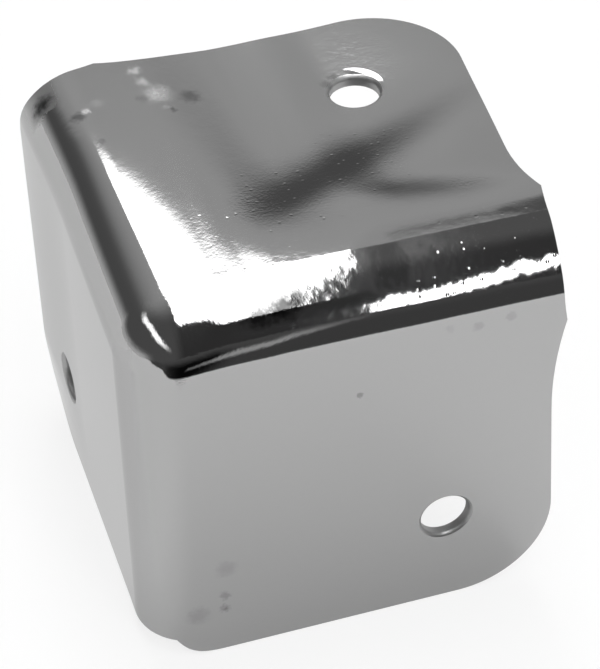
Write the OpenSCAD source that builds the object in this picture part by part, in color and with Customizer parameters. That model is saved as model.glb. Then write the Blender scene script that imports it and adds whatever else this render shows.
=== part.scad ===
// Three-legged cabinet corner, pressed in one piece from plated steel sheet.
//
// Three legs at right angles meet in three round folds and a ball-shaped tip.
// The top leg is level, the front leg faces -Y and the left leg faces -X.
// The corner stands on the lower edges of its front and left legs, at Z = 0.
// Sizes are in millimetres.

/* [Sheet] */
// Thickness of the sheet
sheet_t = 1.2; // [0.8:0.1:1.6]
// Outside radius of the three folds and of the tip
fold_r = 5.4; // [4:0.1:8]

/* [Legs] */
// Height of the front and left legs, over the top face
leg_height = 41; // [34:0.5:60]
// Reach to the right of the top leg, from the left face
reach_x = 41.7; // [34:0.1:60]
// How far the front leg falls short of that reach
front_short = 1.2; // [0:0.1:3]
// Reach to the back of the left leg, from the front face
reach_y = 41.4; // [34:0.1:60]
// How far the top leg falls short of that reach
top_short = 0.6; // [0:0.1:3]
// Radius of the round outer corner of each leg
lobe_r = 9.2; // [5:0.1:11]

/* [Screw holes] */
// Diameter of each screw hole
hole_d = 4.8; // [3:0.1:6.5]
// Radius that the punch rolled into the outer rim of each hole
rim_roll_r = 0.5; // [0.2:0.05:0.7]
// Hole centre to both outer edges of the top leg
top_hole_inset = 11.5; // [8:0.1:14]
// Hole centre to both outer edges of the front leg
front_hole_inset = 10.9; // [8:0.1:14]
// Hole centre to both outer edges of the left leg
left_hole_inset = 11.2; // [8:0.1:14]

/* [Waists] */
// Dip of the top leg's right edge below its reach
top_right_dip = 1.6; // [0.2:0.1:2]
// Front face to the lowest point of that dip
top_right_pos = 14; // [12:0.5:16]
// Radius that curls up from that dip to the fold's end
top_right_curl_r = 16; // [10:1:40]
// Dip of the top leg's back edge below its reach
top_back_dip = 1; // [0.2:0.1:1.5]
// Left face to the lowest point of that dip
top_back_pos = 12.7; // [12:0.1:16]
// Radius that curls up from that dip to the fold's end
top_back_curl_r = 20; // [6:1:40]
// Dip of the front leg's right edge below its reach
front_right_dip = 0.9; // [0.2:0.1:1.5]
// Top face to the lowest point of that dip
front_right_pos = 16.5; // [12:0.5:18]
// Radius that curls up from that dip to the fold's end
front_right_curl_r = 37; // [10:1:45]

/* [Fold ends] */
// Setback of the top-front fold's hollowed end from the front leg's reach
top_front_setback = 0.8; // [0.2:0.1:3]
// Radius hollowed into that end
top_front_end_r = 18.6; // [15:0.1:60]
// Shift of that hollow from the fold's middle, towards the front leg
top_front_end_shift = 0.6; // [0:0.1:3]
// Setback of the top-left fold's hollowed end from the top leg's reach
top_left_setback = 1.1; // [0.2:0.1:3]
// Radius hollowed into that end
top_left_end_r = 10.3; // [8:0.1:60]
// Shift of that hollow from the fold's middle, towards the top leg
top_left_end_shift = 1.2; // [0:0.1:3]
// Rise of the upright fold's lower end, and of the left leg beside it
upright_fold_rise = 2; // [0.2:0.1:2.5]
// Level stretch of the left leg's lower edge, before it slopes to its round corner
left_level_run = 2; // [1:0.1:6]
// Radius of the front leg's lower corner beside that end
upright_corner_r = 4.1; // [3:0.1:5]
// Middle of the fold to the centre of that corner, along the sheet
upright_corner_pos = 5.1; // [4.5:0.1:6]

/* [Hidden] */
// Steps on a full circle
$fn = 96;
// How far a cutting shape runs past what it cuts
over = 1;
// How far an edge that touches an arc runs into it, so that the two cross
touch = 0.001;
inner_fold_r = fold_r - sheet_t;
// Depth that reaches through a fold from its outer edge line
fold_depth = 2 * fold_r;
hole_r = hole_d / 2;
front_reach_x = reach_x - front_short;
top_reach_y = reach_y - top_short;
// Length of each top fold, up to its hollowed end
top_front_fold = front_reach_x - top_front_setback;
top_left_fold = top_reach_y - top_left_setback;
// Front face to where the left leg's lower edge starts to slope
left_level_end = fold_r + left_level_run;
// Past the end of every leg
span = max(reach_x, reach_y, leg_height) + over;

// A solid octant whose three edges and one corner are rounded to radius r.
// The rounding is centred fold_r inside the front, left and top faces, so two of
// these solids with different radii lie one inside the other at an even distance.
module rounded_octant(r, reach, floor_z) {
    core = [fold_r, fold_r, leg_height - fold_r];
    run = reach - fold_r;
    drop = core[2] - floor_z;
    // Blocks that fill the octant out to its left, front and top faces
    translate([core[0] - r, core[1], floor_z]) cube([run + r, run, drop]);
    translate([core[0], core[1] - r, floor_z]) cube([run, run + r, drop]);
    translate([core[0], core[1], floor_z]) cube([run, run, drop + r]);
    // Round edges: upright, top-front and top-left
    translate([core[0], core[1], floor_z]) cylinder(r = r, h = drop);
    translate(core) rotate([0, 90, 0]) cylinder(r = r, h = run);
    translate(core) rotate([-90, 0, 0]) cylinder(r = r, h = run);
    // Ball at the tip
    translate(core) sphere(r = r);
}

// The pressed sheet before its edges are trimmed
module bent_sheet() {
    difference() {
        rounded_octant(fold_r, span, 0);
        rounded_octant(inner_fold_r, span + over, -over);
    }
}

// Each leg has its own flat frame. u and v run away from its two folds, and the
// third axis points out of the leg's outer face. u runs along the fold that the
// leg's frame carries, which lies at v = 0.
module on_top_leg() {
    translate([0, 0, leg_height]) children();
}
module on_left_leg() {
    translate([0, 0, leg_height]) rotate([-90, 0, 90]) children();
}
module on_front_leg() {
    translate([0, 0, leg_height]) rotate([90, 90, 0]) children();
}

// Outline of a leg with a round outer corner
module leg_outline(reach_u, reach_v) {
    square([reach_u - lobe_r, reach_v]);
    square([reach_u, reach_v - lobe_r]);
    translate([reach_u - lobe_r, reach_v - lobe_r]) circle(r = lobe_r);
}

// Direction from the centre of a leg's round corner to where a straight edge
// touches it. The other end of that edge touches a circle of radius start_r round
// start on its far side, or is the point start itself where start_r is 0.
function touch_side(start, start_r, lobe) =
    let (gap = lobe - start,
         lean = acos(-(lobe_r + start_r) / norm(gap)) - atan2(gap[1], gap[0]))
    [cos(lean), -sin(lean)];

// What lies beyond a straight edge that runs from start to the leg's round corner
module beyond_edge(start, side, lobe) {
    outside = lobe[0] + lobe_r + over;
    difference() {
        polygon([start, lobe + (lobe_r - touch) * side, lobe,
                 [outside, lobe[1]], [outside, start[1] - over]]);
        translate(lobe) circle(r = lobe_r);
    }
}

// What a waist takes from the edge at u = reach_u: an arc that bottoms out at
// v = pos, and the straight edge from it. The arc's radius is limited by the room
// between its lowest point and the round corner.
module waist(reach_u, reach_v, pos, dip, wanted_r) {
    lobe = [reach_u - lobe_r, reach_v - lobe_r];
    room = lobe[1] - pos;
    curl_r = min(wanted_r, (room * room + dip * dip) / (2 * dip) - lobe_r - over);
    curl = [reach_u - dip + curl_r, pos];
    side = touch_side(curl, curl_r, lobe);
    translate(curl) circle(r = curl_r);
    beyond_edge(curl - (curl_r - touch) * side, side, lobe);
}

// What a sloped edge takes from the edge at u = reach_u: it starts rise short of
// it at v = pos and runs straight to the round corner
module slope(reach_u, reach_v, pos, rise) {
    lobe = [reach_u - lobe_r, reach_v - lobe_r];
    start = [reach_u - rise, pos];
    beyond_edge(start, touch_side(start, 0, lobe), lobe);
}

// What is trimmed from one leg beyond its two folds. The children are flat shapes
// in the leg's frame that are trimmed as well.
module leg_trim(reach_u, reach_v) {
    translate([0, 0, -sheet_t - over]) linear_extrude(height = sheet_t + 2 * over) {
        intersection() {
            translate([fold_r, fold_r]) square(span + over);
            union() {
                difference() {
                    square(span + fold_r + 2 * over);
                    leg_outline(reach_u, reach_v);
                }
                children();
            }
        }
    }
}

// Square to the middle of the fold that a leg's frame carries: X runs along the
// fold, Y runs along the sheet towards this leg and Z points out of the fold
module across_fold() {
    rotate([45, 0, 0]) children();
}

// What is hollowed from a fold's end by an arc, shifted towards the neighbour leg,
// and all of the fold that lies past that arc
module fold_end_trim(fold_length, end_r, shift) {
    across_fold() translate([fold_length + end_r, -shift, -fold_depth]) {
        cylinder(r = end_r, h = 2 * fold_depth);
        translate([0, -end_r, 0]) cube([span, 2 * end_r, 2 * fold_depth]);
    }
}

// What is trimmed from the lower end of the upright fold and the left leg beside
// it: a level cut that stops at the round lower corner of the front leg
module upright_end_trim() {
    cut_reach = sqrt(2) * upright_corner_pos + 2 * sheet_t;
    difference() {
        translate([leg_height - upright_fold_rise, -over, -left_level_end]) {
            cube([upright_fold_rise + over, cut_reach + over, left_level_end + over]);
        }
        across_fold() translate([0, 0, -fold_depth]) linear_extrude(height = 2 * fold_depth) {
            translate([leg_height - upright_corner_r, upright_corner_pos]) {
                circle(r = upright_corner_r);
            }
            translate([leg_height - 2 * upright_corner_r, upright_corner_pos]) {
                square([2 * upright_corner_r + 2 * over, cut_reach]);
            }
        }
    }
}

// A punched screw hole, with the rim of its outer face rolled in
module screw_hole(reach_u, reach_v, inset) {
    translate([reach_u - inset, reach_v - inset, 0]) {
        translate([0, 0, -sheet_t - over]) cylinder(r = hole_r, h = sheet_t + 2 * over);
        rotate_extrude() {
            difference() {
                translate([0, -rim_roll_r]) square([hole_r + rim_roll_r, rim_roll_r + over]);
                translate([hole_r + rim_roll_r, -rim_roll_r]) circle(r = rim_roll_r);
            }
        }
    }
}

// Everything that is trimmed and punched from the top leg and the top-front fold
module cut_top_leg() {
    leg_trim(reach_x, top_reach_y) {
        waist(reach_x, top_reach_y, top_right_pos, top_right_dip, top_right_curl_r);
        mirror([1, -1]) {
            waist(top_reach_y, reach_x, top_back_pos, top_back_dip, top_back_curl_r);
        }
    }
    fold_end_trim(top_front_fold, top_front_end_r, top_front_end_shift);
    screw_hole(reach_x, top_reach_y, top_hole_inset);
}

// Everything that is trimmed and punched from the left leg and the top-left fold
module cut_left_leg() {
    leg_trim(reach_y, leg_height) {
        mirror([1, -1]) slope(leg_height, reach_y, left_level_end, upright_fold_rise);
    }
    fold_end_trim(top_left_fold, top_left_end_r, top_left_end_shift);
    screw_hole(reach_y, leg_height, left_hole_inset);
}

// Everything that is trimmed and punched from the front leg and the upright fold
module cut_front_leg() {
    leg_trim(leg_height, front_reach_x) {
        mirror([1, -1]) {
            waist(front_reach_x, leg_height, front_right_pos, front_right_dip, front_right_curl_r);
        }
    }
    upright_end_trim();
    screw_hole(leg_height, front_reach_x, front_hole_inset);
}

module corner_shell() {
    // The origin is the middle of the box's bottom
    color("silver") translate([-reach_x / 2, -reach_y / 2, 0]) difference() {
        bent_sheet();
        on_top_leg() cut_top_leg();
        on_left_leg() cut_left_leg();
        on_front_leg() cut_front_leg();
    }
}

corner_shell();
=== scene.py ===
# %% [markdown]
# # A pressed metal corner, dressed for its photograph
#
# The part is one sheet of steel, pressed round the corner of a wooden cabinet
# and plated bright. Its three legs lie on the cabinet's top, front and left
# side, and each has one screw hole. Its exact solid comes from the CAD model,
# so this script doesn't draw the shape again. It takes a copy of the solid's
# mesh, makes it fine enough to carry the small waves that pressing leaves in
# real sheet, and then spends its effort on the plating and on the studio that
# the plating mirrors.

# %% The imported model
import math

import bpy
import numpy as np
from mathutils import Matrix, Vector


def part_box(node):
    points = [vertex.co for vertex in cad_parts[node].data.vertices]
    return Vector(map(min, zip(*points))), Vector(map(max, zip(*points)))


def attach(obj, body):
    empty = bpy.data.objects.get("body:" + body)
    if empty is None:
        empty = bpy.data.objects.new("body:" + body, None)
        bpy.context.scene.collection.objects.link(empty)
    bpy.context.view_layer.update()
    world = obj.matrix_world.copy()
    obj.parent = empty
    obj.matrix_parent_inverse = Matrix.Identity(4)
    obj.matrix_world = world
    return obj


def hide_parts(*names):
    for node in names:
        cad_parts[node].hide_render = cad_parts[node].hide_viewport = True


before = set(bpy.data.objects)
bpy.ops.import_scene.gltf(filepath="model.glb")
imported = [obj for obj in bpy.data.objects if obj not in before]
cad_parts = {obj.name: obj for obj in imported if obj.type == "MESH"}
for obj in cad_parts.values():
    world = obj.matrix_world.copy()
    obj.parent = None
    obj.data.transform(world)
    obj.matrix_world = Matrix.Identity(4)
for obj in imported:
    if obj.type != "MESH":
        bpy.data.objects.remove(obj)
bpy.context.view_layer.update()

MM = 0.001
cad_low, cad_high = (np.array(corner, dtype=float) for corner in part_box("corner_shell"))
print("CAD box in mm:", np.round(cad_low / MM, 2), np.round(cad_high / MM, 2))

# %% [markdown]
# Blender's operators act on whatever is selected, and the import leaves its
# objects selected. So every step starts from one chosen object and nothing
# else, and a face or an edge is picked by where it is, as the eye would do it.

# %% Choosing what an operator works on


def only(obj):
    """Leaves one object selected and active, in object mode."""
    if bpy.context.object and bpy.context.object.mode != "OBJECT":
        bpy.ops.object.mode_set(mode="OBJECT")
    bpy.ops.object.select_all(action="DESELECT")
    bpy.context.view_layer.objects.active = obj
    obj.select_set(True)


def edit_all(obj):
    """Opens an object's mesh in edit mode with all of it selected."""
    only(obj)
    bpy.ops.object.mode_set(mode="EDIT")
    bpy.ops.mesh.select_all(action="SELECT")


def count(obj):
    """Leaves edit mode and tells how large the mesh has become."""
    bpy.ops.object.mode_set(mode="OBJECT")
    mesh = obj.data
    return f"{len(mesh.vertices)} points, {len(mesh.polygons)} faces"


# %% [markdown]
# The sheet could be modelled again from planes, but then its outline would be
# a second drawing of what the CAD solid already says exactly. A copy of the
# solid keeps one truth. Its triangles are loose, so they are joined first, and
# what lies flat is melted into single faces, which leaves a clean base.

# %% A joined copy of the solid
JOIN = 0.004 * MM
FLAT_ANGLE = math.radians(0.4)

only(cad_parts["corner_shell"])
bpy.ops.object.duplicate()
shell = bpy.context.object
shell.name = "plated_shell"
edit_all(shell)
bpy.ops.mesh.remove_doubles(threshold=JOIN)
bpy.ops.mesh.dissolve_degenerate(threshold=JOIN)
bpy.ops.mesh.select_all(action="SELECT")
bpy.ops.mesh.dissolve_limited(angle_limit=FLAT_ANGLE, use_dissolve_boundaries=False)
print("joined copy:", count(shell))

# %% [markdown]
# A blanking press leaves no knife edge: the rim of the sheet is a little
# rounded, and plating rounds it more. That thin line of light along the edge
# tells the eye that this is sheet metal, so the sharp edges get a small
# three-step bevel.

# %% Rounded sheet edges
EDGE_ANGLE = math.radians(50)
EDGE_ROUND = 0.16 * MM

only(shell)
bpy.ops.object.mode_set(mode="EDIT")
bpy.ops.mesh.select_mode(type="EDGE")
bpy.ops.mesh.select_all(action="DESELECT")
bpy.ops.mesh.edges_select_sharp(sharpness=EDGE_ANGLE)
bpy.ops.mesh.bevel(offset=EDGE_ROUND, segments=3, profile=0.5, affect="EDGES", clamp_overlap=True)
bpy.ops.mesh.select_mode(type="VERT")
bpy.ops.mesh.select_all(action="SELECT")
bpy.ops.mesh.remove_doubles(threshold=JOIN)
print("with rounded edges:", count(shell))

# %% [markdown]
# The big flat faces have no points inside, so they can't bend. Subdividing them
# would cut every face by its own outline, and the points would lie unevenly.
# Slicing the whole shell with evenly spaced planes in all three directions
# gives every face a grid of points about as close as the smallest dent, and
# never changes the shape by itself.

# %% Slices that let the sheet bend
SLICE = 0.8 * MM
LAST_SLICE = {0: 18.6 * MM, 1: 18.8 * MM, 2: 40.2 * MM}

edit_all(shell)
for axis, end in LAST_SLICE.items():
    steps = int((end - cad_low[axis]) / SLICE)
    for step in range(1, steps + 1):
        point, facing = [0.0, 0.0, 0.0], [0.0, 0.0, 0.0]
        point[axis] = cad_low[axis] + step * SLICE
        facing[axis] = 1.0
        bpy.ops.mesh.select_all(action="SELECT")
        bpy.ops.mesh.bisect(plane_co=point, plane_no=facing)
print("sliced:", count(shell))

# %% [markdown]
# The folds are round, and the slices cut straight across their short facets.
# Each point of the skin can be put back on the true radius if we know where the
# fold's centre line is. On a leg that line lies straight behind the point, on a
# fold it runs along the fold, and at the tip the three lines meet in one place.

# %% The folds' centre lines
SHEET = 1.2 * MM
FOLD = 5.4 * MM

fold_centre = np.array([cad_low[0] + FOLD, cad_low[1] + FOLD, cad_high[2] - FOLD])


def from_fold(points):
    """The way from the three folds' centre lines to each point, and how long it is."""
    way = points - fold_centre
    way[:, :2] = np.minimum(way[:, :2], 0)
    way[:, 2] = np.maximum(way[:, 2], 0)
    return way, np.linalg.norm(way, axis=1)


print("the folds' centre lines meet at, in mm:", np.round(fold_centre / MM, 2))

# %% [markdown]
# The same measure gives the exact direction that the skin faces. Chrome shows a
# tenth of a degree, so these exact directions are kept, and used later in place
# of ones averaged from the facets.

# %% True radii and exact directions
SKIN_GAP = 0.03 * MM

mesh = shell.data
places = np.empty(len(mesh.vertices) * 3)
mesh.vertices.foreach_get("co", places)
places = places.reshape(-1, 3)
way, reach = from_fold(places)
outer_skin = np.abs(reach - FOLD) < SKIN_GAP
inner_skin = np.abs(reach - (FOLD - SHEET)) < SKIN_GAP
on_skin = outer_skin | inner_skin
for skin, radius in ((outer_skin, FOLD), (inner_skin, FOLD - SHEET)):
    direction = way[skin] / reach[skin, None]
    places[skin] += direction * (radius - reach[skin])[:, None]
facing = np.zeros_like(places)
facing[outer_skin] = way[outer_skin] / reach[outer_skin, None]
facing[inner_skin] = -way[inner_skin] / reach[inner_skin, None]
print("outer skin:", int(outer_skin.sum()), "points, inner skin:", int(inner_skin.sum()))

# %% [markdown]
# Pressing and use leave the sheet slightly wavy. Nobody sees a wave of a tenth
# of a millimetre in its outline, but a mirror doubles every slope, so the
# reflections swing and pool. The waves could be pushed in with a soft brush,
# but then nobody could say which way the skin faces. Here they are plain
# formulas of the place on the sheet, so the exact directions can be turned by
# the slope of the same formulas. Two kinds of soft step are enough for them.
# From here on, x, y and z are millimetres from the left side, the front side
# and the floor.

# %% Soft steps


def ease(value, low, high):
    """Rises smoothly from 0 at low to 1 at high."""
    part = np.clip((value - low) / (high - low), 0, 1)
    return part * part * (3 - 2 * part)


def stretch(value, start, end):
    """One along a stretch: it fades in over the span start and out over the span end."""
    return ease(value, *start) * (1 - ease(value, *end))


def step_down(y, line, width):
    """One step down of height 1 behind a line, spread over a width."""
    return -0.5 * (1 + np.tanh((y - line) / width))


print("a quarter of the way up a soft step:", float(ease(0.25, 0, 1)))

# %% [markdown]
# Where three bends meet, the press pulls the sheet down, so the top of the real
# corner falls a little toward its ball-shaped tip, and most of all along the
# left fold. That slope turns the mirror to the light overhead and draws the
# white pool in the photograph.

# %% The fall toward the tip
FALL = 0.50
ALONG_LEFT_FOLD = 1.15
ALONG_FRONT_FOLD = 0.24
FALL_ENDS = (3, 31)


def fall_to_tip(x, y):
    """How far the top sinks toward its tip, in millimetres."""
    left_part = ALONG_LEFT_FOLD * (1 - ease(x, 3, 9.5))
    front_part = ALONG_FRONT_FOLD * (1 - ease(x, 12, 15))
    return FALL * (left_part + front_part) * (1 - ease(y, *FALL_ENDS))


print("the top sinks at its tip by, in mm:", round(float(fall_to_tip(0, 0)), 2))

# %% [markdown]
# A few shallow hollows are too small to feel, but each ends a reflection: the
# one by the front fold cuts off the right end of the white pool.

# %% Shallow hollows
MIDDLE_HOLLOW = 0.11
POOL_END_HOLLOW = 0.09
FOLD_END_HOLLOW = 0.08


def hollows(x, y):
    """How deep the shallow hollows are, in millimetres."""
    middle = MIDDLE_HOLLOW * ease(x, 15, 22) * ease(y, 4.8, 12)
    pool_end = POOL_END_HOLLOW * ease(x, 22, 26.5) * (1 - ease(y, 5, 8))
    fold_end = FOLD_END_HOLLOW * ease(x, 33, 41) * (1 - ease(y, 4, 10))
    return middle + pool_end + fold_end


print("hollow at the middle of the top, in mm:", round(float(hollows(21, 21)), 2))

# %% [markdown]
# Two dips cross the top of the real part: a long one that runs slantwise toward
# the screw hole, and a short one that branches off it to the right. Each is a
# soft step down behind a line. Behind the long one the sheet curls up again.

# %% The two dips
LONG_DEPTH = 0.80
LONG_SLANT = 0.49
LONG_CURL = 0.0007
SHORT_DEPTH = 0.27
SHORT_SLANT = 0.16
CURL_FROM = 20


def long_dip(x, y):
    """The height of the sheet along the long dip, in millimetres."""
    across = y - LONG_SLANT * (x - 17.5)
    depth = LONG_DEPTH * step_down(across, 14.1, 3.8)
    curl = LONG_CURL * np.maximum(y - CURL_FROM, 0) ** 2
    return stretch(x, (10.5, 19.5), (21, 52)) * (depth + curl)


def short_dip(x, y):
    """The height of the sheet along the short dip, in millimetres."""
    line = 12.6 - SHORT_SLANT * (x - 28)
    shape = step_down(y, line, 1.9) + 0.5 * ease(y, 12, 45)
    return SHORT_DEPTH * stretch(x, (23, 29), (30, 43)) * shape


print("depth behind the long dip, in mm:", round(float(-long_dip(20, 21)), 2))

# %% [markdown]
# The whole top is the sum of these, on a little lift that keeps its middle at
# the height that the CAD model gives. At the rear the left leg leans out, as if
# it had once been pulled from its cabinet. Both skins move together, as the two
# sides of one sheet do.

# %% The waves of the whole sheet
TOP_LIFT = 0.32
REAR_CURL = 0.0003
FLARE = 0.33
FLARE_ABOVE_FOOT = 0.14


def top_rise(x, y):
    """The height that the top gains or loses, in millimetres."""
    curl = REAR_CURL * np.maximum(y - CURL_FROM, 0) ** 2
    return TOP_LIFT - fall_to_tip(x, y) - hollows(x, y) + long_dip(x, y) + short_dip(x, y) + curl


def left_flare(x, y, z):
    """How far the rear of the left leg leans out, in millimetres."""
    rear = ease(y, 24, 42) * ease(z, 0, 7)
    return rear * (FLARE + FLARE_ABOVE_FOOT * ease(z, 5, 9)) * (1 - ease(x, 2, 12))


def waves(points):
    """How far each point of the sheet moves, in metres."""
    x, y, z = ((points - [cad_low[0], cad_low[1], 0]) / MM).T
    move = np.zeros_like(points)
    move[:, 0] -= left_flare(x, y, z)
    move[:, 2] += top_rise(x, y) * ease(z, 33, 38)
    return move * MM


moved = np.linalg.norm(waves(places), axis=1) / MM
print("waves in mm: largest", round(moved.max(), 2), "and middle", round(np.median(moved), 2))

# %% [markdown]
# A wave that moves a point also turns the direction that the skin faces there.
# The slopes come from moving each point twice, a hair apart, and the inverse of
# the slopes turns a direction as the sheet itself is turned.

# %% Bending the sheet
HAIR = 0.02 * MM


def slopes(points):
    """The matrix at each point that the waves stretch and turn the sheet by."""
    turn = np.zeros((len(points), 3, 3))
    for axis in range(3):
        off = np.zeros(3)
        off[axis] = HAIR
        turn[:, :, axis] = (waves(points + off) - waves(points - off)) / (2 * HAIR)
    return turn + np.eye(3)


mesh.vertices.foreach_set("co", (places + waves(places)).ravel())
mesh.update()
facing = np.einsum("nji,nj->ni", np.linalg.inv(slopes(places)), facing)
facing[on_skin] /= np.linalg.norm(facing[on_skin], axis=1)[:, None]
flat_top = outer_skin & (places[:, 2] > cad_high[2] - SKIN_GAP)
lean = np.degrees(np.arccos(facing[flat_top, 2]))
print("the flat top now leans by up to", round(float(lean.max()), 1), "degrees")

# %% [markdown]
# The sheet's cut walls and rolled hole rims keep the directions that Blender
# averages from their faces. The two skins get the exact ones. Two attributes
# remember which points lie inside and which on a cut wall, because the plating
# is thinner there.

# %% Smooth shading with exact directions
only(shell)
bpy.ops.object.shade_smooth()
averaged = np.empty(len(mesh.vertices) * 3)
mesh.vertices.foreach_get("normal", averaged)
averaged = averaged.reshape(-1, 3)
averaged[on_skin] = facing[on_skin]
mesh.normals_split_custom_set_from_vertices(averaged.tolist())
for name, mask in (("inside", inner_skin), ("cut", ~on_skin)):
    layer = mesh.attributes.new(name, "FLOAT", "POINT")
    layer.data.foreach_set("value", mask.astype(np.float32))
print("shaded:", count(shell), "of which on cut walls:", int((~on_skin).sum()), "points")

# %% [markdown]
# The dressed sheet rides on the part's only body and stands for its only node.

# %% Telling the frame what the piece is
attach(shell, "root")
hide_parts("corner_shell")
print(shell.name, "stands for corner_shell")

# %% [markdown]
# Shader maths is easier to read as arithmetic than as boxes and wires. This
# small class wraps one socket of a node, so that a sum of two sockets adds the
# Math node by itself, and 1 - mask works as written. Every other kind of node
# comes from one method.

# %% Arithmetic with sockets


class Wire:
    """An output socket that can be added, scaled and passed on."""

    def __init__(self, tree, socket=None):
        self.tree, self.socket = tree, socket

    def node(self, kind, settings, inputs, output=0):
        """Adds a node, its settings first, and gives one of its outputs."""
        made = self.tree.nodes.new(kind)
        for name, value in settings.items():
            setattr(made, name, value)
        for name, value in inputs.items():
            if isinstance(value, Wire):
                self.tree.links.new(value.socket, made.inputs[name])
            else:
                made.inputs[name].default_value = value
        return Wire(self.tree, made.outputs[output]) if made.outputs else None

    def math(self, operation, *values):
        return self.node("ShaderNodeMath", {"operation": operation}, dict(enumerate(values)))

    def __add__(self, other):
        return self.math("ADD", self, other)

    def __mul__(self, other):
        return self.math("MULTIPLY", self, other)

    def __sub__(self, other):
        return self.math("SUBTRACT", self, other)

    def __rsub__(self, other):
        return self.math("SUBTRACT", other, self)

    def __truediv__(self, other):
        return self.math("DIVIDE", self, other)

    def __rtruediv__(self, other):
        return self.math("DIVIDE", other, self)

    __radd__ = __add__
    __rmul__ = __mul__

    def ease(self, low, high):
        """Rises smoothly from 0 at low to 1 at high."""
        return self.node(
            "ShaderNodeMapRange",
            {"interpolation_type": "SMOOTHSTEP"},
            {"Value": self, "From Min": low, "From Max": high},
        )

    def between(self, low, high, soft):
        """One between low and high and zero outside, with soft sides."""
        rise = self.ease(low - soft, low + soft)
        return rise * (1 - self.ease(high - soft, high + soft))

    def towards(self, level, mask):
        """Blends to a level where the mask is one."""
        return self + (level - self) * mask


# %% [markdown]
# Each material starts empty, so that nothing in it is left over from Blender's
# defaults, and ends in one output node.

# %% Starting and ending a material


def new_tree(name):
    """A new material with no nodes, and a Wire to build with."""
    material = bpy.data.materials.new(name)
    material.use_nodes = True
    tree = material.node_tree
    tree.nodes.clear()
    return material, Wire(tree)


def finish_surface(build, shader):
    """Joins a shader to the material's output and tells how many nodes it took."""
    build.node("ShaderNodeOutputMaterial", {}, {"Surface": shader})
    return f"{len(build.tree.nodes)} nodes"


def xyz(build, vector, axes="XYZ"):
    """The parts of a vector along the named axes."""
    return [build.node("ShaderNodeSeparateXYZ", {}, {"Vector": vector}, axis) for axis in axes]


# %% [markdown]
# The finish is bright chrome over nickel on pressed steel. It could be one
# smooth mirror, but then the part would look new, and the real one isn't: its
# top is scuffed and its front fold pitted. A few dark spots are painted into its
# colour too, some of them painted dark reflections. All of these are placed on
# the sheet, so the material first needs the place of each point, in
# millimetres, from the piece's own coordinates.

# %% Places on the sheet
TOP_HEIGHT = 41.0

chrome, build = new_tree("bright_plating")
place = build.node("ShaderNodeTexCoord", {}, {}, "Object")
spot = build.node("ShaderNodeVectorMath", {"operation": "SCALE"}, {0: place, "Scale": 1 / MM})
sheet_x, sheet_y, sheet_z = xyz(build, spot)
sheet_x = sheet_x - cad_low[0] / MM
sheet_y = sheet_y - cad_low[1] / MM
print("the sheet's corner lies at, in mm:", np.round(cad_low[:2] / MM, 2))

# %% [markdown]
# Two patterns are enough for worn metal: lumps of any size, which are smooth
# noise, and specks, which are small round spots in some of the cells of a
# Voronoi pattern. Both are given their size in millimetres.

# %% Lumps and specks


def noise(size, detail=2.0, roughness=0.6):
    """Smooth random lumps of a size in mm, mostly between -1 and 1."""
    lumps = {"Vector": spot, "Scale": 1 / size, "Detail": detail, "Roughness": roughness}
    return (build.node("ShaderNodeTexNoise", {}, lumps) - 0.5) * 4


def specks(size, share, radius, seed):
    """Small round spots: one in the middle of a share of cells of a size in mm."""
    shift = {0: spot, 1: (seed, seed, seed)}
    moved = build.node("ShaderNodeVectorMath", {"operation": "ADD"}, shift)
    cell = {"Vector": moved, "Scale": 1 / size, "Randomness": 0.9}
    away = build.node("ShaderNodeTexVoronoi", {}, cell, "Distance") * size
    pick = build.node("ShaderNodeTexVoronoi", {}, cell, "Color")
    red = build.node("ShaderNodeSeparateColor", {}, {"Color": pick}, "Red")
    return (1 - away.ease(0, radius)) * red.ease(1 - share, 1.02 - share)


print("nodes for the place alone:", len(build.tree.nodes))

# %% [markdown]
# Wear has a place and a size. A patch is a soft oval on the top, and a blot is
# a round spot anywhere on the sheet, whose rim the lumps make uneven. A blot on
# a flat face is measured less across the face than along it, so it stays whole
# where a wave lifts the sheet.

# %% Patches and blots
RIM_LUMP, RIM_DEPTH = 0.6, 0.35
ON_TOP = (1, 1, 0.3)
ON_FRONT = (1, 0.3, 1)

rim = noise(RIM_LUMP, 4.0) * RIM_DEPTH


def patch(x, y, wide, long, turn=0):
    """One at a place on the top, fading to zero over an oval round it."""
    c, s = math.cos(math.radians(turn)), math.sin(math.radians(turn))
    dx, dy = sheet_x - x, sheet_y - y
    u, v = (dx * c + dy * s) / wide, (dy * c - dx * s) / long
    return 1 - build.math("SQRT", u * u + v * v).ease(0.5, 1.2)


def blot(x, y, z, size, flat=ON_TOP):
    """A round spot of a size in mm at a place on the sheet, with an uneven rim."""
    where = (x + cad_low[0] / MM, y + cad_low[1] / MM, z)
    off = build.node("ShaderNodeVectorMath", {"operation": "SUBTRACT"}, {0: spot, 1: where})
    off = build.node("ShaderNodeVectorMath", {"operation": "MULTIPLY"}, {0: off, 1: flat})
    away = build.node("ShaderNodeVectorMath", {"operation": "LENGTH"}, {0: off}, "Value")
    return 1 - (away + rim).ease(0.2 * size, 1.2 * size)


print("nodes with the uneven rim:", len(build.tree.nodes))

# %% [markdown]
# The front fold takes the knocks of a cabinet's life. Its right half is pitted,
# its right end is uneven enough to make the bright line on it jump, and the
# middle of the top is scuffed by whatever was stood on it. The attributes tell
# the inside and the cut walls, where the plating is thin and dull.

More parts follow.
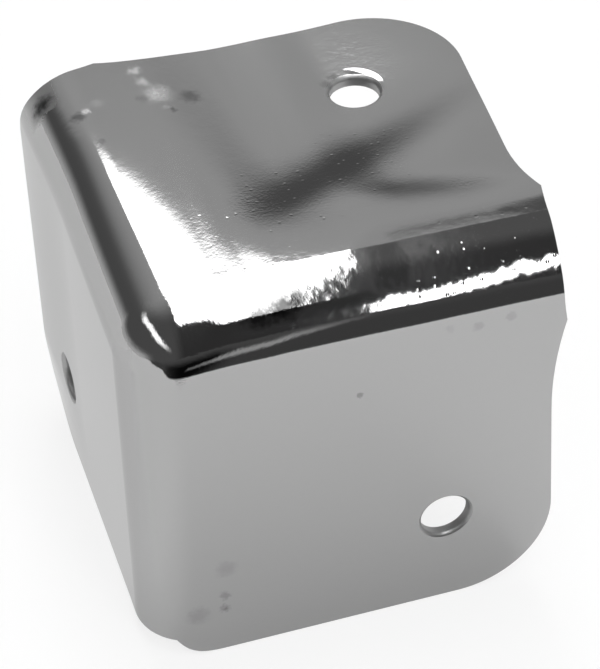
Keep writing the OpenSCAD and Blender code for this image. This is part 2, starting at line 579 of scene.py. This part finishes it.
# %% Where the sheet is worn
folded = (1 - sheet_y.ease(4.5, 7.5)) * sheet_z.ease(35.8, 37.2)
worn = folded * sheet_x.ease(24, 28)
zigzag = folded * sheet_x.ease(32, 36)
scuffed = patch(21, 15.5, 12, 7, 25)
crumbs = patch(15.5, 14.5, 3.5, 2.5, 30) + patch(35.3, 11.8, 2.2, 1.2)
inside = build.node("ShaderNodeAttribute", {"attribute_name": "inside"}, {}, "Fac")
cut = build.node("ShaderNodeAttribute", {"attribute_name": "cut"}, {}, "Fac")
outside = 1 - inside
print("nodes with the worn places:", len(build.tree.nodes))

# %% [markdown]
# Near its rear left the top has a few pale scuffs. A scuff scatters the light
# of the whole room, so it is the same metal with a rougher surface. The rear
# end of the left fold is dull in the same way, with an uneven edge.

# %% Pale scuffs
SCUFFS = (
    # x, y, size, how rough it is in the middle
    (12.2, 33.6, 2.1, 0.22),
    (11.0, 35.9, 1.0, 0.16),
    (10.7, 37.9, 1.0, 0.18),
    (12.2, 31.1, 0.6, 0.14),
    (4.7, 32.9, 0.6, 0.16),
    (6.0, 33.8, 1.0, 0.08),
)
DULL_END = 0.40

scuffs = sum(blot(x, y, TOP_HEIGHT, size) * rough for x, y, size, rough in SCUFFS)
scuffs = scuffs * (noise(0.5) * 0.2 + 0.9)
at_rear = (sheet_y + rim).ease(35.0, 36.3)
dull_end = (1 - sheet_x.ease(1.6, 3.8)) * at_rear * sheet_z.ease(37.0, 38.8) * DULL_END
print("scuffs:", len(SCUFFS), "nodes so far:", len(build.tree.nodes))

# %% [markdown]
# These dark spots are painted into the metal's colour, as blots that take away
# a share of its brightness: a few at the rear left, some low on the front leg, a
# faint row under the front fold, and a smoky run along the fold beside the tip.
# The smoky run and the spot just right of the pale scuffs are painted dark
# reflections; the others are plain dark marks.

# %% Dark spots and painted dark reflections
ROUND = (1, 1, 1)
DARK_SPOTS_AND_PAINTED_REFLECTIONS = (
    # x, y, z, size, how it lies, how dark it is
    (1.5, 37.2, 39.4, 1.5, (1, 1, 0.8), 0.88),
    (3.9, 32.4, 40.7, 0.9, ON_TOP, 0.50),
    # painted dark reflection, just right of the pale scuffs
    (14.8, 32.6, TOP_HEIGHT, 1.2, ON_TOP, 0.42),
    (10.4, 33.2, TOP_HEIGHT, 0.8, ON_TOP, 0.20),
    (12.6, 30.7, TOP_HEIGHT, 0.4, ON_TOP, 0.35),
    (4.9, 27.8, TOP_HEIGHT, 0.6, ON_TOP, 0.25),
    (28.0, 31.2, TOP_HEIGHT, 0.7, ON_TOP, 0.28),
    (28.9, 32.2, TOP_HEIGHT, 0.6, ON_TOP, 0.28),
    (7.6, 0, 5.6, 0.6, ON_FRONT, 0.48),
    (7.7, 0, 7.4, 0.6, ON_FRONT, 0.25),
    (7.9, 0, 11.0, 1.2, ON_FRONT, 0.14),
    (5.0, 0, 5.4, 1.3, ON_FRONT, 0.16),
    (31.8, 0, 34.1, 0.6, ON_FRONT, 0.14),
    (34.9, 0, 34.4, 0.5, ON_FRONT, 0.14),
    (29.2, 0, 34.5, 0.5, ON_FRONT, 0.08),
    (20.8, 0, 29.1, 0.3, ON_FRONT, 0.35),
    # the smoky run: painted dark reflections along the fold beside the tip
    (15.9, 2.1, 39.9, 1.1, ROUND, 0.75),
    (14.4, 1.7, 39.6, 1.4, (0.8, 1, 1), 0.85),
    (12.3, 1.4, 39.3, 1.1, (0.6, 1, 1), 0.75),
)
CUT_SHADE = 0.1

# The cut walls, with the hole walls and rolled rims, are a tenth darker: partly the duller bare
# steel, partly painted shade in and round the holes.
bright = 1 - cut * CUT_SHADE
# Each blot darkens the metal's colour, the painted dark reflections among them.
for *where, depth in DARK_SPOTS_AND_PAINTED_REFLECTIONS:
    bright = bright * (1 - blot(*where) * outside * depth)
print("dark spots:", len(DARK_SPOTS_AND_PAINTED_REFLECTIONS), "nodes so far:", len(build.tree.nodes))

# %% [markdown]
# At its rear right the rolled rim of the top screw hole is pressed down a
# little, and the slope catches the softbox in a thin crescent. It could be
# modelled, but it is so small that a mask for the relief draws it as well.

# %% The lip of the top hole
TOP_HOLE = (30.2, 29.9)
LIP_SIDE = (0.86, 0.5)

hole_x, hole_y = sheet_x - TOP_HOLE[0], sheet_y - TOP_HOLE[1]
hole_far = build.math("SQRT", hole_x * hole_x + hole_y * hole_y)
rear_side = (hole_x * LIP_SIDE[0] + hole_y * LIP_SIDE[1]).ease(1.3, 2.5)
lip = (1 - hole_far.ease(2.3, 3.2)) * rear_side * sheet_z.ease(38, 39)
print("nodes with the hole's lip:", len(build.tree.nodes))

# %% [markdown]
# Relief comes in four kinds: a fine grain, as of dust under the plating, broad
# lumps left by polishing, the scratches of the scuffs, and pits. All heights
# are in millimetres and enter one Bump node. A few thousandths of a millimetre
# are plenty on a mirror, and twice as much would look like hammered metal.

# %% The relief of the plating
GRAIN, GRAIN_SCUFFED, GRAIN_CRUMBS, GRAIN_FOLD = 0.0004, 0.0008, 0.0014, 0.0010
POLISH, POLISH_FOLD, POLISH_END = 0.0006, 0.0018, 0.008
SCRATCH = 0.0015
PIT, PIT_WORN, PIT_SCUFFED = 0.0004, 0.009, 0.008
LIP_DEPTH = 0.10

near_tip = 1 - sheet_x.ease(14, 18)
grain_height = GRAIN + GRAIN_SCUFFED * scuffed + GRAIN_CRUMBS * crumbs
grain = noise(0.30) * (grain_height + GRAIN_FOLD * folded * near_tip)
polish = noise(1.2, 1.0) * (POLISH + POLISH_FOLD * folded) + noise(2.0, 0.0) * POLISH_END * zigzag
scratches = noise(0.35) * SCRATCH * scuffs
pits = specks(0.8, 0.5, 0.22, 3.7) * (PIT + PIT_WORN * worn + PIT_SCUFFED * scuffed)
height = grain + polish + scratches - pits - lip * LIP_DEPTH
relief = build.node(
    "ShaderNodeBump", {}, {"Strength": 1.0, "Distance": MM, "Height": height}
)
print("nodes with the relief:", len(build.tree.nodes))

# %% [markdown]
# Polished chrome gives back a bit over half of what falls on it in a bright
# room and looks darker in a picture exposed for a white ground, so it is a
# metal of one middle grey, a little less bright at a glancing angle, as the
# left leg shows. Everything else is in how sharp the mirror is: sharpest
# outside, dull on the inside and on the cut walls.

# %% Bright plating
CHROME = 0.415
GLANCING = 0.74
MIRROR_ROUGH, INSIDE_ROUGH, CUT_ROUGH = 0.055, 0.26, 0.38

roughness = inside * INSIDE_ROUGH + cut * CUT_ROUGH + (scuffs + dull_end) * outside + MIRROR_ROUGH
metal = build.node(
    "ShaderNodeBsdfPrincipled",
    {},
    {
        "Base Color": bright * CHROME,
        "Metallic": 1.0,
        "Specular Tint": (GLANCING, GLANCING, GLANCING, 1),
        "Roughness": roughness,
        "Normal": relief,
    },
)
print("plating:", finish_surface(build, metal))
mesh.materials.clear()
mesh.materials.append(chrome)

# %% [markdown]
# Chrome has almost no look of its own: it shows the room, so the room is part
# of the work. Past the floor the camera sees a plain white world. It adds no
# light, because the tent that comes next hides it from all but the camera.

# %% White beyond the floor
WHITE = (1, 1, 1, 1)

world = bpy.data.worlds.new("white_room")
bpy.context.scene.world = world
world.use_nodes = True
world_paint = world.node_tree.nodes["Background"].inputs
world_paint["Color"].default_value = WHITE
world_paint["Strength"].default_value = 1.0
print("world:", world.name)

# %% [markdown]
# A photographer would light this part with boards and softboxes on stands, and
# move each until its reflection fell in the right place. A mirror this small
# asks only how bright the room is in each direction, so one far sphere of
# glowing cloth does the same. The camera looks through it, and all else sees it.

# %% A round tent
TENT = 12.0

only(shell)
bpy.ops.mesh.primitive_uv_sphere_add(segments=48, ring_count=24, radius=TENT, location=(0, 0, 0))
tent = bpy.context.object
tent.name = "light_tent"
tent.visible_camera = False
print("tent:", count(tent), "radius in m:", TENT)

# %% [markdown]
# Every panel of the tent is named by its direction as seen from the part. The
# shares to the right, to the back and up say how far a direction points each
# way. Four angles in degrees are handy too: azimuth and height as on a compass,
# over, which runs from the rear horizon (0) over the top (90) to the front
# (180), and aside, which runs from the top (0) down to the left (-90).

# %% Directions in the tent
cloth, build = new_tree("tent_panels")
look = build.node("ShaderNodeTexCoord", {}, {}, "Object")
look = build.node("ShaderNodeVectorMath", {"operation": "NORMALIZE"}, {0: look})
right, back, up = xyz(build, look)
DEGREES = 180 / math.pi
azimuth = build.math("ARCTAN2", right, back) * DEGREES
height = build.math("ARCSINE", up) * DEGREES
over = build.math("ARCTAN2", up, back) * DEGREES
aside = build.math("ARCTAN2", right, up) * DEGREES
print("nodes for the directions:", len(build.tree.nodes))

# %% [markdown]
# Most of the tent is dim, because the dark lines in chrome are what make it
# look like chrome. The left of the room is a little lighter than the right. To
# the right of the softbox the ceiling is grey and gets darker toward the front,
# the far right is a bright wall, and low in the rear there is a dark strip.

# %% The dim room
ROOM, ROOM_LEFT = 0.055, 0.075
CEILING, CEILING_BESIDE_BOX, CEILING_FRONT_LOSS = 0.16, 0.22, 0.6
RIGHT_WALL = 0.65
REAR_STRIP = 0.13

level = ROOM + (1 - right.ease(-0.3, 0.1)) * ROOM_LEFT
ceiling = CEILING + (1 - right.ease(0.25, 0.31)) * CEILING_BESIDE_BOX
ceiling = ceiling * (1 - over.ease(75, 110) * CEILING_FRONT_LOSS)
level = level.towards(ceiling, right.ease(0.25, 0.28) * over.between(28, 146, 9))
level = level.towards(RIGHT_WALL, right.ease(0.42, 0.55))
level = level.towards(REAR_STRIP, right.between(-0.06, 0.6, 0.03) * over.between(0, 40, 1))
print("nodes with the dim room:", len(build.tree.nodes))

# %% [markdown]
# The flat top mirrors the rear of the room, which is a plain pale wall there.
# To the left that wall fades into shade, as cloth does away from a lamp. On its
# right a narrow pale strip carries the wall up beside the softbox.

# %% The pale rear wall
REAR_WALL = 0.61
LEFT_REAR, LEFT_SHADE, LEFT_SHADE_RISE = 0.57, 0.18, 0.36
BESIDE_BOX = 0.57
WALL_FOOT, WALL_TOP = (27.5, 36.5), (39, 41.2)

lower = aside + (back - 0.75) * 25
left_rear = right.between(-0.9, -0.03, 0.03) * lower.ease(-60, -30) * (1 - over.ease(45, 110))
left_wall = aside.ease(-52, -12) * LEFT_SHADE_RISE + LEFT_SHADE
level = level.towards(left_wall.towards(LEFT_REAR, back.ease(0.765, 0.80)), left_rear)
wall = right.between(-0.16, 0.6, 0.06) * over.ease(*WALL_FOOT) * (1 - over.ease(*WALL_TOP))
level = level.towards(REAR_WALL, wall)
level = level.towards(BESIDE_BOX, right.between(0.262, 0.42, 0.004) * over.between(38, 43, 2))
print("nodes with the rear wall:", len(build.tree.nodes))

# %% [markdown]
# One large softbox hangs overhead. The part's curved corner gathers it into the
# white pool. Its left and right sides aren't quite parallel, which is why the
# pool's left edge in the photograph isn't straight. A narrow slanted strip of
# the same light in front makes the bright line along the front fold.

# %% The softbox and the strip light
SOFTBOX = 5.2
BOX_REAR, BOX_FRONT, BOX_SOFT = 40.3, 136, 0.9
BOX_LEFT_TAPER, BOX_RIGHT_TAPER = 0.235, 0.03
STRIP_SLANT = 250

box_left = (right - over.ease(103, 138) * BOX_LEFT_TAPER).ease(-0.125, -0.10)
box_right = (right + over.ease(60, BOX_FRONT) * BOX_RIGHT_TAPER).ease(0.248, 0.257)
softbox = box_left * (1 - box_right) * over.between(BOX_REAR, BOX_FRONT, BOX_SOFT)
level = level.towards(SOFTBOX, softbox)
slant = over + (right - 0.295) * STRIP_SLANT
strip_light = right.between(0.265, 0.375, 0.003) * slant.between(153, 175, 1)
level = level.towards(SOFTBOX, strip_light)
print("nodes with the softbox:", len(build.tree.nodes))

# %% [markdown]
# The left fold carries a short bright line beside the tip. It is a thin lamp on
# the left, bent like a bow, because a straight one would come out curved in the
# fold. Below it a pale low backdrop lights the left leg, which the camera sees
# almost edge on.

# %% The bowed lamp and the low backdrop
BOWED_LAMP = 2.8
BACKDROP = 0.85
BOW_HEIGHT, BOW_BEND, BOW_FALL = 50, 0.0064, 0.15

bow_front = build.math("MAXIMUM", -90 - azimuth, 0)
bow_rear = build.math("MAXIMUM", azimuth + 90, 0)
bow = height - BOW_HEIGHT + bow_front * bow_front * BOW_BEND + bow_rear * BOW_FALL
level = level.towards(BOWED_LAMP, bow.between(-3.5, 3.5, 2) * azimuth.between(-148, -60, 14))
level = level.towards(BACKDROP, azimuth.between(-122, -30, 14) * (1 - height.ease(-2, 15)))
glow = build.node("ShaderNodeEmission", {}, {"Color": level, "Strength": 1.0})
print("tent cloth:", finish_surface(build, glow))
tent.data.materials.append(cloth)

# %% [markdown]
# The part stands on wide pale paper, which its two upright legs mirror. The
# paper could be plain white and lit until it clips, but that light would flood
# the chrome. So it takes only the light that falls on it, which keeps the
# part's soft shadow, and a share of plain white is added for the rays that show
# it as a ground: those of the camera, and those that pass through a hole.

# %% The floor's paper
FLOOR_SIZE = 6
FLOOR_PAINT = 0.93

bpy.ops.mesh.primitive_plane_add(size=FLOOR_SIZE, location=(0, 0, 0))
floor = bpy.context.object
floor.name = "pale_floor"
paper, build = new_tree("pale_paper")
lit_paint = {
    "Base Color": (FLOOR_PAINT, FLOOR_PAINT, FLOOR_PAINT, 1),
    "Roughness": 0.9,
    "Specular IOR Level": 0.0,
}
lit = build.node("ShaderNodeBsdfPrincipled", {}, lit_paint)
white = build.node("ShaderNodeEmission", {}, {"Color": WHITE, "Strength": 1.0})
print("floor side in m:", FLOOR_SIZE)

# %% [markdown]
# In the legs' reflections the paper gets less white, because the front leg of
# the real part is a calm middle grey. Beside the left leg it gets more, as if a
# white card lay there, because that leg is much paler in the photograph.

# %% How white the paper is to each kind of ray
WHITE_SEEN = 0.8
WHITE_MIRRORED = 0.18
WHITE_BESIDE = 0.75

camera_ray, glossy_ray, through_ray = (
    build.node("ShaderNodeLightPath", {}, {}, name)
    for name in ("Is Camera Ray", "Is Glossy Ray", "Is Transmission Ray")
)
on_floor = build.node("ShaderNodeTexCoord", {}, {}, "Object")
floor_x, floor_y = (part * (1 / MM) for part in xyz(build, on_floor, "XY"))
beside = (1 - floor_x.ease(-25, -5)) * floor_y.ease(-24, -6) * (1 - floor_y.ease(15, 65))
mirrored = glossy_ray * (beside * WHITE_BESIDE + WHITE_MIRRORED)
whiteness = (camera_ray + through_ray) * WHITE_SEEN + mirrored
surface = build.node("ShaderNodeMixShader", {}, {0: whiteness, 1: lit, 2: white})
print("paper:", finish_surface(build, surface))
floor.data.materials.append(paper)

# %% [markdown]
# A low black card stands just in front of the part, seen in reflections only.
# It is what draws the dark line under the bright one on the front fold. A flat
# card would end in that line, so it is folded round the part: its foot is drawn
# point by point, and then pulled up.

# %% A folded card
CARD_TALL = 40
CARD_FOOT = (
    (600, -47),
    (22, -41.4),
    (9, -39),
    (-3, -38.5),
    (-14, -43),
    (-24, -55),
    (-76, -123),
    (-635, -505),
)

first_x, first_y = CARD_FOOT[0]
start = Vector((cad_low[0] + first_x * MM, cad_low[1] + first_y * MM, 0))
bpy.ops.mesh.primitive_plane_add(size=CARD_TALL * MM, location=start)
card = bpy.context.object
card.name = "black_card"
edit_all(card)
bpy.ops.mesh.merge(type="CENTER")
for (x1, y1), (x2, y2) in zip(CARD_FOOT, CARD_FOOT[1:]):
    run = ((x2 - x1) * MM, (y2 - y1) * MM, 0)
    bpy.ops.mesh.extrude_vertices_move(TRANSFORM_OT_translate={"value": run})
bpy.ops.mesh.select_all(action="SELECT")
bpy.ops.mesh.extrude_edges_move(TRANSFORM_OT_translate={"value": (0, 0, CARD_TALL * MM)})
print("card:", count(card))
bpy.ops.object.transform_apply(location=True)
for way_seen in ("visible_camera", "visible_diffuse", "visible_shadow", "visible_transmission"):
    setattr(card, way_seen, False)

# %% [markdown]
# A card is never evenly black. It is darkest in front of the tip, paler at its
# top, where it fades to the tent's dim level, and its foot carries painted light
# that pales toward the paper's white. A slanted pale smear crosses it, which is
# the faint second line on the fold.

# %% The card's shades
CARD_SHADE, CARD_DARKEST = 0.09, 0.085
SMEAR = 0.5
CARD_TOP, CARD_FOOT_PAINTED_LIGHT = 0.12, 0.8

black, build = new_tree("black_card")
on_card = build.node("ShaderNodeTexCoord", {}, {}, "Object")
card_x, card_z = (part * (1 / MM) for part in xyz(build, on_card, "XZ"))
card_x = card_x - cad_low[0] / MM
shade = CARD_SHADE - card_x.ease(-45, 4) * (1 - card_x.ease(13, 19)) * CARD_DARKEST
smear_line = (card_z - 22.3) - (card_x - 15.8) * 1.09
smear = smear_line.between(-4, 4, 3) * card_z.between(20, 40, 3)
# Painted light: the card's foot pales toward the paper's white, as if the paper lit it.
painted_foot_light = 1 - (card_z / (6.5 - card_x.ease(8, 17) * 4)).ease(0, 1)
shade = (shade + smear * SMEAR).towards(CARD_TOP, card_z.ease(27, CARD_TALL))
shade = shade.towards(CARD_FOOT_PAINTED_LIGHT, painted_foot_light)
faint = build.node("ShaderNodeEmission", {}, {"Color": shade, "Strength": 1.0})
print("card:", finish_surface(build, faint))
card.data.materials.append(black)

# %% [markdown]
# The camera stands where the photograph was taken from: above and to the left
# of the front leg, close enough that the upright edges run together downward.
# Its place and its two directions were worked out from the corners and holes in
# the photograph.

# %% Camera
CAMERA_AT = (-0.04570, -0.15214, 0.15672)
CAMERA_RIGHT = (0.9531, -0.3024, -0.0118)
CAMERA_UP = (0.2065, 0.6214, 0.7558)
LENS = 114.74

bpy.ops.object.camera_add(location=CAMERA_AT)
camera = bpy.context.object
side, top = Vector(CAMERA_RIGHT).normalized(), Vector(CAMERA_UP).normalized()
turned = Matrix((side, top, side.cross(top))).transposed()
camera.rotation_euler = turned.to_euler()
camera.data.lens = LENS
camera.data.sensor_width = 36
camera.data.clip_start = 0.01
bpy.context.scene.camera = camera
bpy.context.scene.view_settings.view_transform = "Standard"
print("camera distance in mm:", round(camera.location.length / MM))
